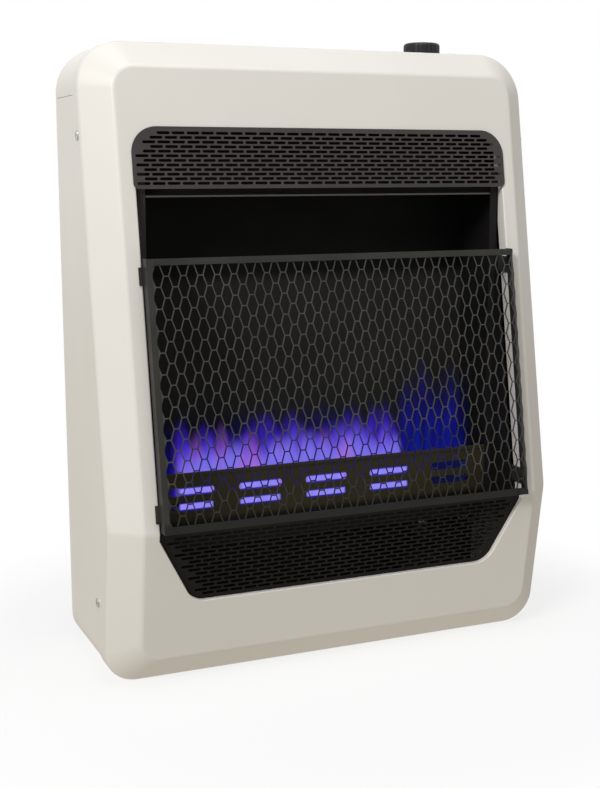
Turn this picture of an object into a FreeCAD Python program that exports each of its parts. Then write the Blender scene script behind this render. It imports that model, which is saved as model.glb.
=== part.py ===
import FreeCAD, Part
import math
import os

from FreeCAD import Vector

# A ventless gas heater. +Z is up and the front faces -Y.
# Depths are measured forward from the wall plane at the back.

# Casing envelope
casing_width = 465.0
casing_height = 590.0
casing_top_corner = 44.0
casing_bottom_corner = 31.0
casing_sheet = 1.0
cabinet_sheet = 1.0
overlap_gap = 0.3

# Front profile: rear edge of the chamfer, then the face ahead of it
edge_depth_top = 79.0
edge_depth_kink = 153.0
edge_depth_bottom = 130.0
kink_height = 152.0
chamfer_depth = 24.0
chamfer_side = 27.0
chamfer_top = 23.6
chamfer_bottom = 26.6
face_corner = 20.0
skirt_depth_top = 68.0
skirt_depth_bottom = 112.0

# Opening in the casing's face
opening_half = 190.5
opening_top = 510.5
opening_top_corner = 22.0
opening_bottom = 82.0
opening_side_bottom = 145.0
opening_bottom_half = 157.0
opening_bottom_corner = 20.0
rim_radius = 2.6
rim_depth = 13.0
rim_steps = 4

# Rear cabinet
seam_height = 541.3
seam_gap = 0.4
panel_setback = 3.0
bottom_flange_half = 176.0
bottom_sheet = 1.0
bottom_half = 195.0
bottom_edge_gap = 0.5
tray_gap = 0.2
tray_rim = 14.0
keyhole_half_spacing = 170.0
keyhole_height = 500.0
keyhole_entry_radius = 6.5
keyhole_slot_radius = 3.25
keyhole_drop = 14.0
wall_hole_half_spacing = 150.0
wall_hole_height = 60.0
wall_hole_radius = 3.25
air_slot_length = 60.0
air_slot_width = 7.0
air_slot_pitch = 14.0
air_slot_rows = 4
air_slot_first_depth = 40.0
air_slot_column_half = 48.0

# Casing screws on the sides
screw_radius = 1.9
screw_hole_gap = 0.2
screw_head_radius = 4.2
screw_head_height = 1.6
screw_length = 9.0
upper_screw_height = 505.0
upper_screw_setback = 7.0
lower_screw_height = 75.0
lower_screw_setback = 28.0
screw_recess_width = 1.0
screw_recess_reach = 2.52
screw_recess_depth = 0.8

# Grilles
grille_recess = 5.0
grille_sheet = 0.9
grille_gap = 0.3
upper_grille_bottom = 457.4
upper_grille_corner = 5.0
upper_grille_lap = 2.4
upper_slot_low = 4.7
upper_slot_high = 5.6
lower_grille_top = 150.0
slot_length = 12.2
slot_width = 2.6
slot_pitch = 14.1
slot_row_pitch = 4.09
slot_rounding = 0.98
upper_grille_border = 3.4
lower_grille_border = 4.0

# Guard
guard_half = 190.0
guard_top = 396.4
guard_bottom = 154.0
guard_ahead = 12.2
guard_sheet = 1.0
guard_flange = 11.0
guard_top_strip = 5.9
guard_bottom_strip = 6.4
guard_left_strip = 5.4
guard_right_strip = 1.0
mesh_lap = 1.5
mesh_edge_gap = 0.2
mesh_sheet = 1.0
mesh_pitch_across = 16.13
mesh_pitch_up = 19.22
mesh_first_column = 4.7
mesh_bond = 4.8
mesh_strand = 0.95
mesh_wave = 0.8
mesh_smallest_gap = 1.2
hook_height = 16.0
hook_sheet = 1.0
hook_tongue = 8.0
hook_rest = 4.0
hook_inset = 8.0
hook_gap = 0.3
rivet_inset = 10.5
rivet_radius = 1.2
rivet_head = 0.8
rivet_head_radius = 1.9
rivet_hole_gap = 0.1

# Firebox
firebox_sheet = 1.0
firebox_back_depth = 52.0
firebox_floor_height = 118.8
firebox_top_height = 474.0
firebox_front = 118.0
firebox_setback = 15.0
firebox_lip = 8.0
firebox_gap = 0.3
deflector_front_height = 450.8
deflector_lip = 0.6
control_shield_depth = 84.0
control_shield_half = 205.0
control_shield_top = 572.0
bracket_half_spacing = 172.0
bracket_width = 18.0
bracket_sheet = 1.5
bracket_low = 140.0
bracket_high = 455.0
shield_depth = 29.0
shield_sheet = 0.8
shield_left = -150.0
shield_right = 110.0
shield_low = 160.0
shield_high = 440.0
spacer_radius = 4.0
spacer_inset = 20.0

# Burner
burner_panel_sheet = 1.0
burner_panel_top = 192.0
burner_panel_hem = 3.0
burner_panel_foot = 10.0
burner_slot_length = 45.0
burner_slot_width = 8.0
burner_slot_pitch = 70.0
burner_slot_count = 5
burner_slot_low = 159.0
burner_slot_high = 173.8
burner_half = 165.0
burner_depth = 95.0
burner_width = 22.0
burner_height = 25.0
burner_wall = 1.2
burner_foot_height = 5.0
burner_foot_width = 14.0
burner_foot_half_spacing = 110.0
port_sheet = 1.5
port_width = 2.0
port_length = 14.0
port_pitch = 5.0
ports_per_group = 10
mixer_radius = 10.0
mixer_wall = 1.2
mixer_bell_radius = 12.5
mixer_bell_length = 8.0
mixer_out = 12.0
mixer_inside = 6.0
bell_clear = 2.0
mixer_hole_gap = 0.3
injector_radius = 4.0
injector_length = 9.0
injector_bore = 0.8
injector_gap = 3.0
injector_seat = 4.0
holder_length = 14.0
holder_width = 16.0
holder_height = 16.0

# Pilot group
pilot_x = 178.0
pilot_depth = 59.0
probe_spacing = 9.5
probe_count = 3
pilot_bracket_sheet = 1.2
pilot_bracket_height = 16.0
pilot_bracket_half = 8.0
pilot_sunk = 10.0
pilot_radius = 4.0
pilot_height = 34.0
pilot_port_radius = 1.5
probe_radius = 2.2
probe_length = 32.0
electrode_radius = 2.6
electrode_length = 24.0
electrode_rod_radius = 0.9
electrode_rod_length = 12.0
plate_hole_gap = 0.1
riser_hole_gap = 0.6

# Valve, spindle and knob
valve_x = 140.0
valve_depth = 45.0
valve_half_width = 28.0
valve_half_depth = 22.0
valve_height = 52.0
valve_corner = 6.0
bonnet_radius = 11.0
bonnet_rise = 11.0
bonnet_hole_gap = 0.4
valve_nut_radius = 17.0
valve_nut_height = 5.0
shelf_sheet = 1.5
shelf_half_width = 32.0
shelf_reach = 70.0
shelf_back_height = 50.0
spindle_radius = 4.0
spindle_fit = 0.05
spindle_sunk = 18.0
plunger_radius = 3.0
plunger_length = 20.0
plunger_gap = 0.05
press_travel = 5.0
knob_radius = 18.5
knob_rise = 13.5
knob_height = 20.0
knob_edge = 3.5
knob_clear = 1.2
knob_socket_depth = 3.5
knob_recess_radius = 9.5
knob_recess_depth = 4.0
knob_flutes = 24
knob_flute_radius = 1.4
knob_flute_depth = 0.6
knob_pointer_width = 2.4
knob_pointer_depth = 0.8
bezel_gap = 0.6
bezel_wall = 1.0
bezel_flange = 0.9
bezel_flange_height = 1.2
bezel_drop = 6.0
bezel_hole_gap = 0.2
spring_radius = 6.4
spring_wire = 0.6
spring_turns = 4
spring_gap = 0.1
igniter_radius = 8.0
igniter_length = 30.0
igniter_gap = 0.1
igniter_drop = 12.0
bore_spare = 1.0

# Regulator and gas inlet
regulator_x = 152.0
regulator_depth = 35.0
regulator_radius = 24.0
regulator_low = 38.0
regulator_high = 66.0
inlet_boss_radius = 13.5
inlet_boss_low = 4.0
inlet_bore_radius = 7.6
inlet_bore_length = 16.0
inlet_hole_gap = 4.0
regulator_face = 3.0
outlet_boss_radius = 9.0
outlet_boss_height = 14.0
regulator_cap_radius = 15.0
regulator_cap_length = 8.0
regulator_bracket_half = 22.0
regulator_bracket_sheet = 1.5

# Pipes, wires and the sensing bulb
inlet_pipe_radius = 4.75
main_pipe_radius = 4.0
main_pipe_bend = 12.0
main_pipe_drop = 22.0
outlet_port_x = 16.0
outlet_port_depth = 12.0
pipe_wall = 0.8
pipe_fit = 0.1
pipe_nut_length = 10.0
pipe_nut_wall = 3.0
line_bend = 6.0
channel_x = 200.0
pilot_pipe_radius = 2.0
pilot_port_x = 21.0
pilot_port_depth = -16.0
pilot_pipe_drop = 26.0
pilot_channel_depth = 36.0
pilot_under = 12.0
lead_radius = 1.2
lead_port_x = -12.0
lead_port_depth = 12.0
lead_drop = 33.0
lead_channel_depth = 62.0
lead_under = 18.0
wire_radius = 1.5
wire_drop = 24.0
wire_channel_depth = 75.0
wire_under = 24.0
capillary_radius = 1.0
capillary_port_x = -22.0
capillary_port_depth = -10.0
capillary_drop = 14.0
bulb_radius = 4.0
bulb_length = 80.0
bulb_low = 40.0
bulb_x = -215.0
bulb_depth = 60.0
clip_height = 10.0
clip_wall = 1.5

cabinet_inset = casing_sheet + overlap_gap
lining_inset = cabinet_inset + cabinet_sheet
firebox_half = guard_half - guard_sheet - firebox_gap
top_surface = casing_height - cabinet_inset
long_reach = 2 * (edge_depth_kink + chamfer_depth)
floor_top = firebox_floor_height + firebox_sheet
burner_panel_depth = firebox_front - burner_panel_sheet
riser_radii = (pilot_pipe_radius, lead_radius, wire_radius)

# Heights up the control, from the knob's top down to the valve's ports
knob_top = top_surface + knob_rise
knob_bottom = knob_top - knob_height
bonnet_top = knob_bottom - press_travel - knob_clear
shelf_top = bonnet_top - bonnet_rise
valve_top = shelf_top - shelf_sheet
valve_bottom = valve_top - valve_height
spindle_bottom = valve_top - spindle_sunk
plunger_bottom = spindle_bottom - plunger_gap - plunger_length
socket_top = knob_top - knob_edge - knob_socket_depth
outlet_top = regulator_high + outlet_boss_height


def lerp(low, high, share):
    return low + (high - low) * share


def edge_depth(height):
    # Depth of the chamfer's rear edge at a height
    if height >= kink_height:
        share = (height - kink_height) / (casing_height - kink_height)
        return lerp(edge_depth_kink, edge_depth_top, share)
    return lerp(edge_depth_bottom, edge_depth_kink, height / kink_height)


def face_depth(height):
    return edge_depth(height) + chamfer_depth


def face_height(depth):
    # Height at which the upper face reaches a depth
    share = (edge_depth_kink + chamfer_depth - depth) / (edge_depth_kink - edge_depth_top)
    return lerp(kink_height, casing_height, share)


def skirt_depth(height):
    return lerp(skirt_depth_bottom, skirt_depth_top, height / casing_height)


# The lower rivets of the guard stand out furthest
face_lean = math.atan((edge_depth_kink - edge_depth_top) / (casing_height - kink_height))
rivet_reach = rivet_head * math.cos(face_lean) + rivet_head_radius * math.sin(face_lean)
overall_depth = face_depth(guard_bottom + guard_bottom_strip / 2) + guard_ahead + rivet_reach


def at(x, depth, height):
    # A point given by its depth, in the part's frame
    return Vector(x, overall_depth / 2 - depth, height)


def on_face(back):
    # Places front-view points on the casing's face, moved back
    return lambda x, height: at(x, face_depth(height) - back, height)


def on_wall(depth):
    return lambda x, height: at(x, depth, height)


def unit(u, v):
    length = math.hypot(u, v)
    return u / length, v / length


def rounded_loop(corners, place):
    # Closed wire through (u, v, radius) corners, each rounded by its radius
    bends = []
    for index, (u, v, radius) in enumerate(corners):
        before = corners[index - 1]
        after = corners[(index + 1) % len(corners)]
        in_u, in_v = unit(before[0] - u, before[1] - v)
        out_u, out_v = unit(after[0] - u, after[1] - v)
        half_angle = 0.5 * math.acos(in_u * out_u + in_v * out_v)
        tangent = radius / math.tan(half_angle)
        mid_u, mid_v = unit(in_u + out_u, in_v + out_v)
        reach = radius / math.sin(half_angle) - radius
        start = (u + in_u * tangent, v + in_v * tangent)
        middle = (u + mid_u * reach, v + mid_v * reach)
        end = (u + out_u * tangent, v + out_v * tangent)
        bends.append((start, middle, end, radius))
    edges = []
    for index, (start, middle, end, radius) in enumerate(bends):
        if radius > 0:
            arc = Part.Arc(place(*start), place(*middle), place(*end))
            edges.append(arc.toShape())
        following = bends[(index + 1) % len(bends)][0]
        if math.dist(end, following) > 1e-6:
            line = Part.LineSegment(place(*end), place(*following))
            edges.append(line.toShape())
    return Part.Wire(edges)


def grown(corners, by):
    # The same convex outline with each side moved outward
    count = len(corners)
    area = 0.0
    for index in range(count):
        u0, v0, _ = corners[index]
        u1, v1, _ = corners[(index + 1) % count]
        area += u0 * v1 - u1 * v0
    turn = math.copysign(1.0, area)
    sides = []
    for index in range(count):
        u0, v0, _ = corners[index]
        u1, v1, _ = corners[(index + 1) % count]
        du, dv = unit(u1 - u0, v1 - v0)
        sides.append((u0 + dv * turn * by, v0 - du * turn * by, du, dv))
    moved = []
    for index, (_, _, radius) in enumerate(corners):
        pu, pv, du, dv = sides[index - 1]
        qu, qv, eu, ev = sides[index]
        cross = du * ev - dv * eu
        along = ((qu - pu) * ev - (qv - pv) * eu) / cross
        new_radius = radius + by if radius > 0 else 0.0
        moved.append((pu + du * along, pv + dv * along, new_radius))
    return moved


def plate(place, corners, holes, thickness):
    # Flat sheet with holes, its thickness going back from the placed face
    face = Part.Face(rounded_loop(corners, place))
    if holes:
        face.cutHoles([rounded_loop(hole[::-1], place) for hole in holes])
    return face.extrude(Vector(0, thickness, 0))


def front_prism(corners, depth_low, depth_high):
    return plate(on_wall(depth_high), corners, [], depth_high - depth_low)


def side_prism(points, x_low, x_high):
    # Prism along X over a polygon of (depth, height) points
    loop = [at(x_low, depth, height) for depth, height in points]
    face = Part.Face(Part.makePolygon(loop + loop[:1]))
    return face.extrude(Vector(x_high - x_low, 0, 0))


def block(x_low, x_high, depth_low, depth_high, low, high):
    corner = at(x_low, depth_high, low)
    return Part.makeBox(x_high - x_low, depth_high - depth_low, high - low, corner)


def post(x, depth, low, high, radius):
    return Part.makeCylinder(radius, high - low, at(x, depth, low), Vector(0, 0, 1))


def rod_across(x_low, x_high, depth, height, radius):
    start = at(x_low, depth, height)
    return Part.makeCylinder(radius, x_high - x_low, start, Vector(1, 0, 0))


def rod_forward(x, depth_low, depth_high, height, radius):
    start = at(x, depth_low, height)
    return Part.makeCylinder(radius, depth_high - depth_low, start, Vector(0, -1, 0))


def hex_post(x, depth, low, high, radius):
    # Hexagonal bar, radius across its flats
    corner = radius / math.cos(math.pi / 6)
    points = []
    for index in range(6):
        angle = index * math.pi / 3
        points.append(at(x + corner * math.cos(angle), depth + corner * math.sin(angle), low))
    face = Part.Face(Part.makePolygon(points + points[:1]))
    return face.extrude(Vector(0, 0, high - low))


def joined(shapes):
    first, rest = shapes[0], shapes[1:]
    return first.fuse(rest).removeSplitter() if rest else first


def route(points, bend):
    # Straight runs joined by tangent arcs of one bend radius
    path = [at(*point) for point in points]
    edges = []
    start = path[0]
    for before, corner, after in zip(path, path[1:], path[2:]):
        inward = (before - corner).normalize()
        outward = (after - corner).normalize()
        half_angle = 0.5 * inward.getAngle(outward)
        tangent = bend / math.tan(half_angle)
        arc_start = corner + inward * tangent
        arc_end = corner + outward * tangent
        toward = (inward + outward).normalize()
        middle = corner + toward * (bend / math.sin(half_angle) - bend)
        edges.append(Part.LineSegment(start, arc_start).toShape())
        edges.append(Part.Arc(arc_start, middle, arc_end).toShape())
        start = arc_end
    edges.append(Part.LineSegment(start, path[-1]).toShape())
    return Part.Wire(edges)


def swept(path, radius):
    first = path.Edges[0]
    start = first.valueAt(first.FirstParameter)
    heading = first.tangentAt(first.FirstParameter)
    ring = Part.Wire(Part.makeCircle(radius, start, heading))
    return path.makePipeShell([ring], True, False)


def pipe(points, bend, radius):
    path = route(points, bend)
    return swept(path, radius).cut(swept(path, radius - pipe_wall))


def outline(inset):
    # Casing outline in the front view, moved inward
    half = casing_width / 2 - inset
    top = casing_height - inset
    low_radius = casing_bottom_corner - inset
    high_radius = casing_top_corner - inset
    return [
        (-half, inset, low_radius), (half, inset, low_radius),
        (half, top, high_radius), (-half, top, high_radius)]


def diagonal_half_width(height, growth):
    # Half of the width between the diagonals below the opening's straight sides
    lean = (opening_half - opening_bottom_half) / (opening_side_bottom - opening_bottom)
    return opening_half + growth - (opening_side_bottom - height) * lean


def opening_upper(growth):
    half = opening_half + growth
    top = opening_top + growth
    radius = opening_top_corner + growth
    return [(-half, kink_height, 0), (half, kink_height, 0), (half, top, radius), (-half, top, radius)]


def opening_lower(growth):
    half = opening_half + growth
    bottom = opening_bottom - growth
    low_half = diagonal_half_width(bottom, growth)
    radius = opening_bottom_corner + growth
    return [
        (-low_half, bottom, radius), (low_half, bottom, radius), (half, opening_side_bottom, 0),
        (half, kink_height, 0), (-half, kink_height, 0), (-half, opening_side_bottom, 0)]


def half_loop(half, end, radius, place):
    corners = [(-half, kink_height, 0), (half, kink_height, 0), (half, end, radius), (-half, end, radius)]
    return rounded_loop(corners, place)


def casing_block(inset):
    # Solid filling the casing's outer skin, moved inward by inset
    slope = math.hypot(chamfer_side, chamfer_depth)
    edge_back = inset * (slope - chamfer_depth) / chamfer_side
    face_in = inset * (slope - chamfer_side) / chamfer_depth
    half = casing_width / 2 - inset
    face_half = casing_width / 2 - chamfer_side - face_in
    ends = [
        (casing_height - inset, casing_height - chamfer_top - face_in, casing_top_corner),
        (inset, chamfer_bottom + face_in, casing_bottom_corner),
    ]
    pieces = []
    for edge_end, face_end, corner in ends:
        rear = half_loop(
            half, edge_end, corner - inset,
            lambda x, height: at(x, edge_depth(height) - edge_back, height))
        front = half_loop(face_half, face_end, face_corner - face_in, on_face(inset))
        pieces.append(Part.makeLoft([rear, front], True, True))
        pieces.append(Part.Face(rear).extrude(Vector(0, long_reach + inset, 0)))
    return joined(pieces)


def opening_cutter(bend):
    # Fills the opening, with its edge flared round to a bend about the rim's centre
    pieces = []
    for corners in (opening_upper, opening_lower):
        loops = []
        for step in range(rim_steps + 1):
            angle = 0.5 * math.pi * step / rim_steps
            growth = rim_radius - bend * math.sin(angle)
            back = rim_radius - bend * math.cos(angle)
            loops.append(rounded_loop(corners(growth), on_face(back)))
        pieces.append(Part.makeLoft(loops, True, True))
        pieces.append(Part.Face(loops[0]).extrude(Vector(0, -long_reach, 0)))
        pieces.append(Part.Face(loops[-1]).extrude(Vector(0, long_reach, 0)))
    return joined(pieces)


def front_casing():
    skin = casing_block(0.0).cut(opening_cutter(rim_radius))
    hollow = casing_block(casing_sheet)
    deep = hollow.copy()
    deep.translate(Vector(0, rim_depth, 0))
    hollow = hollow.cut(opening_cutter(rim_radius - casing_sheet))
    shell = skin.cut(hollow).cut(deep)
    behind = [
        (-long_reach, -casing_height),
        (skirt_depth(-casing_height), -casing_height),
        (skirt_depth(2 * casing_height), 2 * casing_height),
        (-long_reach, 2 * casing_height),
    ]
    shell = shell.cut(side_prism(behind, -casing_width, casing_width))
    return shell.cut(joined_holes(casing_width / 2, screw_radius + screw_hole_gap))


def screw_places():
    places = []
    for height, setback in (
            (upper_screw_height, upper_screw_setback), (lower_screw_height, lower_screw_setback)):
        places.append((edge_depth(height) - setback, height))
    return places


def joined_holes(reach, radius):
    # Pins through both side walls at the casing screws
    pins = []
    for depth, height in screw_places():
        for side in (-1, 1):
            x_low = min(side * reach, side * (reach - 2 * screw_length))
            pins.append(rod_across(x_low - 1, x_low + 2 * screw_length + 1, depth, height, radius))
    return Part.makeCompound(pins)


def casing_screws():
    screws = []
    for depth, height in screw_places():
        for side in (-1, 1):
            wall = side * casing_width / 2
            tip = wall - side * screw_length
            crown = wall + side * screw_head_height
            shank = rod_across(min(wall, tip), max(wall, tip), depth, height, screw_radius)
            head = rod_across(min(wall, crown), max(wall, crown), depth, height, screw_head_radius)
            floor = crown - side * screw_recess_depth
            half = screw_recess_width / 2
            arm = screw_recess_reach
            low, high = min(floor, crown), max(floor, crown)
            cross = [
                block(low, high, depth - arm, depth + arm, height - half, height + half),
                block(low, high, depth - half, depth + half, height - arm, height + arm),
            ]
            screws.append(joined([shank, head]).cut(joined(cross)))
    return Part.makeCompound(screws)


def cabinet_ring():
    # Wrap of the rear cabinet, trimmed behind the casing's chamfer
    wrap = front_prism(outline(cabinet_inset), 0, long_reach)
    wrap = wrap.cut(front_prism(outline(lining_inset), -1, long_reach + 1))
    ahead = [
        (edge_depth_bottom - panel_setback, -1),
        (edge_depth_bottom - panel_setback, 0),
        (edge_depth_kink - panel_setback, kink_height),
        (edge_depth_top - panel_setback, casing_height),
        (edge_depth_top - panel_setback, casing_height + 1),
        (2 * long_reach, casing_height + 1),
        (2 * long_reach, -1),
    ]
    wrap = wrap.cut(side_prism(ahead, -casing_width, casing_width))
    return wrap.cut(joined_holes(casing_width / 2, screw_radius + screw_hole_gap))


def side_panel(side):
    x_low = -casing_width if side < 0 else bottom_flange_half
    region = block(x_low, x_low + casing_width - bottom_flange_half, -1, long_reach, -1, seam_height)
    return cabinet_ring().common(region)


def top_panel():
    region = block(-casing_width, casing_width, -1, long_reach, seam_height + seam_gap, casing_height)
    hole_radius = knob_radius + bezel_gap + bezel_wall + bezel_hole_gap
    hole = post(valve_x, valve_depth, seam_height, casing_height, hole_radius)
    return cabinet_ring().common(region).cut(hole)


def back_panel():
    tray = lining_inset + tray_gap
    solid = front_prism(outline(tray), 0, tray_rim)
    solid = solid.cut(front_prism(outline(tray + cabinet_sheet), cabinet_sheet, tray_rim + 1))
    tools = []
    for side in (-1, 1):
        x = side * keyhole_half_spacing
        top = keyhole_height
        tools.append(rod_forward(x, -1, cabinet_sheet + 1, top - keyhole_drop, keyhole_entry_radius))
        tools.append(rod_forward(x, -1, cabinet_sheet + 1, top, keyhole_slot_radius))
        tools.append(block(
            x - keyhole_slot_radius, x + keyhole_slot_radius, -1, cabinet_sheet + 1, top - keyhole_drop, top))
        tools.append(rod_forward(
            side * wall_hole_half_spacing, -1, cabinet_sheet + 1, wall_hole_height, wall_hole_radius))
    return solid.cut(tools)


def bottom_panel():
    front = skirt_depth(0) - bottom_edge_gap
    solid = block(-bottom_half, bottom_half, 0, front, 0, bottom_sheet)
    tools = [post(regulator_x, regulator_depth, -1, bottom_sheet + 1, inlet_boss_radius + inlet_hole_gap)]
    for row in range(air_slot_rows):
        depth = air_slot_first_depth + row * air_slot_pitch
        for x in (-2 * air_slot_column_half, 0, 2 * air_slot_column_half):
            x_low = x - air_slot_column_half - air_slot_length / 2
            if x_low + air_slot_length > regulator_x - inlet_boss_radius - 2 * inlet_hole_gap:
                continue
            tools.append(block(
                x_low, x_low + air_slot_length, depth, depth + air_slot_width, -1, bottom_sheet + 1))
    return solid.cut(tools)


def slot_outline(x, height):
    half = slot_length / 2
    tall = slot_width / 2
    radius = tall * slot_rounding
    return [
        (x - half, height - tall, radius), (x + half, height - tall, radius),
        (x + half, height + tall, radius), (x - half, height + tall, radius),
    ]


def inside(corners, x, height):
    # True if a point lies within a convex outline with rounded corners
    for index, (u, v, radius) in enumerate(corners):
        before = corners[index - 1]
        after = corners[(index + 1) % len(corners)]
        du, dv = unit(after[0] - u, after[1] - v)
        if (x - u) * dv - (height - v) * du > 0:
            return False
        in_u, in_v = unit(before[0] - u, before[1] - v)
        half_angle = 0.5 * math.acos(in_u * du + in_v * dv)
        mid_u, mid_v = unit(in_u + du, in_v + dv)
        centre_u = u + mid_u * radius / math.sin(half_angle)
        centre_v = v + mid_v * radius / math.sin(half_angle)
        tangent = radius / math.tan(half_angle)
        near_in = (x - u) * in_u + (height - v) * in_v < tangent
        near_out = (x - u) * du + (height - v) * dv < tangent
        if near_in and near_out and math.hypot(x - centre_u, height - centre_v) > radius:
            return False
    return True


def slot_rows(corners, border, low, high):
    # Brick pattern of slots that keep their border to the outline
    room = grown(corners, -border)
    slots = []
    rows = int((high - low) / slot_row_pitch) + 1
    spare = (high - low) - (rows - 1) * slot_row_pitch
    columns = int(casing_width / slot_pitch)
    for row in range(rows):
        height = low + spare / 2 + row * slot_row_pitch
        shift = 0.5 * slot_pitch * (row % 2)
        for column in range(-columns, columns + 1):
            x = column * slot_pitch + shift
            ends = (x - slot_length / 2, x + slot_length / 2)
            if all(inside(room, end, height) for end in ends):
                slots.append(slot_outline(x, height))
    return slots


def upper_grille_outline():
    # Lies over the opening's rounded rim, in front of the casing's face
    _, _, right, left = opening_upper(upper_grille_lap)
    return [
        (left[0], upper_grille_bottom, upper_grille_corner),
        (right[0], upper_grille_bottom, upper_grille_corner), right, left]


def lower_grille_outline():
    left, right, turn_right, _, _, turn_left = opening_lower(-grille_gap)
    half = turn_right[0]
    return [
        left, right, turn_right, (half, lower_grille_top, 0), (-half, lower_grille_top, 0), turn_left]


def upper_grille():
    corners = upper_grille_outline()
    low = upper_grille_bottom + upper_slot_low
    high = opening_top + upper_grille_lap - upper_slot_high
    slots = slot_rows(corners, upper_grille_border, low, high)
    return plate(on_face(-grille_sheet - grille_gap), corners, slots, grille_sheet)


def lower_grille():
    # The slots keep between the diagonals, drawn on up to the sheet's top edge
    left, right, _, _, _, _ = opening_lower(-grille_gap)
    half = diagonal_half_width(lower_grille_top, -grille_gap)
    room = [left, right, (half, lower_grille_top, 0), (-half, lower_grille_top, 0)]
    border = lower_grille_border
    slots = slot_rows(room, border, opening_bottom + border, lower_grille_top - border)
    return plate(on_face(grille_recess), lower_grille_outline(), slots, grille_sheet)


def rectangle(x_low, x_high, low, high):
    return [(x_low, low, 0), (x_high, low, 0), (x_high, high, 0), (x_low, high, 0)]


def guard_window():
    return (
        guard_left_strip - guard_half, guard_half - guard_right_strip,
        guard_bottom + guard_bottom_strip, guard_top - guard_top_strip)


def guard_frame():
    place = on_face(-guard_ahead)
    frame = plate(
        place, rectangle(-guard_half, guard_half, guard_bottom, guard_top),
        [rectangle(*guard_window())], guard_sheet)
    sides = [frame]
    for x_low in (-guard_half, guard_half - guard_sheet):
        strip = rectangle(x_low, x_low + guard_sheet, guard_bottom, guard_top)
        sides.append(plate(place, strip, [], guard_flange))
    x_low, x_high, low, high = guard_window()
    room = mesh_lap + mesh_edge_gap
    notch = plate(
        on_face(-guard_ahead - guard_sheet),
        rectangle(x_high - room, guard_half + room, low - room, high + room), [],
        2 * guard_sheet + mesh_sheet + mesh_edge_gap)
    solid = joined(sides).cut(notch)
    radius = rivet_radius + rivet_hole_gap
    reach = 2 * guard_sheet
    normal = face_normal()
    for place in rivet_places():
        solid = solid.cut(Part.makeCylinder(radius, 2 * reach, place + normal * reach, normal * -1))
    return solid


def mesh_cell(x, height):
    # Hexagonal gap between four strands and two bonds
    flat = mesh_bond / 2
    wide = mesh_pitch_across / 2 - flat
    tall = mesh_pitch_up / 2
    cell = [
        (x - flat, height - tall, 0), (x + flat, height - tall, 0), (x + wide, height, 0),
        (x + flat, height + tall, 0), (x - flat, height + tall, 0), (x - wide, height, 0)]
    return grown(cell, -mesh_strand / 2)


def trimmed(corners, axis, limit, side):
    # The part of an outline on one side of a line along an axis
    kept = []
    for index, here in enumerate(corners):
        before = corners[index - 1]
        gap_before = (before[axis] - limit) * side
        gap_here = (here[axis] - limit) * side
        if gap_before * gap_here < 0:
            share = gap_before / (gap_before - gap_here)
            kept.append((lerp(before[0], here[0], share), lerp(before[1], here[1], share), 0))
        if gap_here >= 0:
            kept.append(here)
    return kept


def guard_mesh():
    x_low, x_high, low, high = guard_window()
    x_high -= mesh_strand
    rim = [(x_low - mesh_lap, high + mesh_lap, 0), (x_low - mesh_lap, low - mesh_lap, 0)]
    steps = int((high - low) / mesh_pitch_up * 2)
    rim.append((guard_half, low - mesh_lap, 0))
    for step in range(steps):
        wave = mesh_wave if step % 2 else 0
        rim.append((guard_half + wave, high - mesh_pitch_up * (steps - step) / 2, 0))
    rim.append((guard_half, high + mesh_lap, 0))
    cells = []
    columns = int((x_high - x_low) / mesh_pitch_across * 2)
    rows = int((high - low) / mesh_pitch_up)
    for column in range(columns + 1):
        x = x_low + mesh_first_column + mesh_pitch_across * column / 2
        for row in range(rows + 2):
            cell = mesh_cell(x, high - mesh_pitch_up * (row + 0.5 - 0.5 * (column % 2)))
            for axis, limit, side in ((0, x_low, 1), (0, x_high, -1), (1, low, 1), (1, high, -1)):
                cell = trimmed(cell, axis, limit, side)
            across = [corner[0] for corner in cell]
            upward = [corner[1] for corner in cell]
            if cell and min(max(across) - min(across), max(upward) - min(upward)) > mesh_smallest_gap:
                cells.append(cell)
    return plate(on_face(guard_sheet - guard_ahead), rim, cells, mesh_sheet)


def hook_heights():
    return guard_bottom + hook_inset, guard_top - hook_inset - hook_height


def guard_hooks():
    # Tabs from the guard's flanges: they rest on the casing's face and latch behind its turned-in edge
    front = guard_flange - guard_ahead
    back = rim_depth + casing_sheet + hook_gap
    hooks = []
    for side in (-1, 1):
        x_low = guard_half - hook_sheet if side > 0 else -guard_half
        tip = guard_half - hook_sheet if side > 0 else -guard_half - hook_tongue
        rest_low = guard_half - hook_sheet if side > 0 else -guard_half - hook_rest
        for low in hook_heights():
            tab = plate(
                on_face(front), rectangle(x_low, x_low + hook_sheet, low, low + hook_height), [],
                back + hook_sheet - front)
            tongue = plate(
                on_face(back), rectangle(tip, tip + hook_sheet + hook_tongue, low, low + hook_height), [],
                hook_sheet)
            rest = plate(
                on_face(front),
                rectangle(rest_low, rest_low + hook_sheet + hook_rest, low, low + hook_height), [],
                -hook_gap - front)
            hooks.append(joined([tab, tongue, rest]))
    return Part.makeCompound(hooks)


def face_normal():
    # Outward normal of the upper front face
    return Vector(0, -math.cos(face_lean), math.sin(face_lean))


def rivet_places():
    places = []
    for side in (-1, 1):
        x = side * (guard_half - rivet_inset)
        for height in (guard_top - guard_top_strip / 2, guard_bottom + guard_bottom_strip / 2):
            places.append(on_face(-guard_ahead)(x, height))
    return places


def guard_rivets():
    normal = face_normal()
    rivets = []
    for place in rivet_places():
        shank = Part.makeCylinder(rivet_radius, guard_sheet + rivet_head, place, normal * -1)
        head = Part.makeCylinder(rivet_head_radius, rivet_head, place, normal)
        rivets.append(joined([shank, head]))
    return Part.makeCompound(rivets)


def firebox_inner():
    return firebox_half - firebox_sheet - firebox_gap


def firebox_back():
    half = firebox_inner()
    front = firebox_back_depth + firebox_sheet
    return block(-half, half, firebox_back_depth, front, firebox_floor_height, firebox_top_height)


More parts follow.
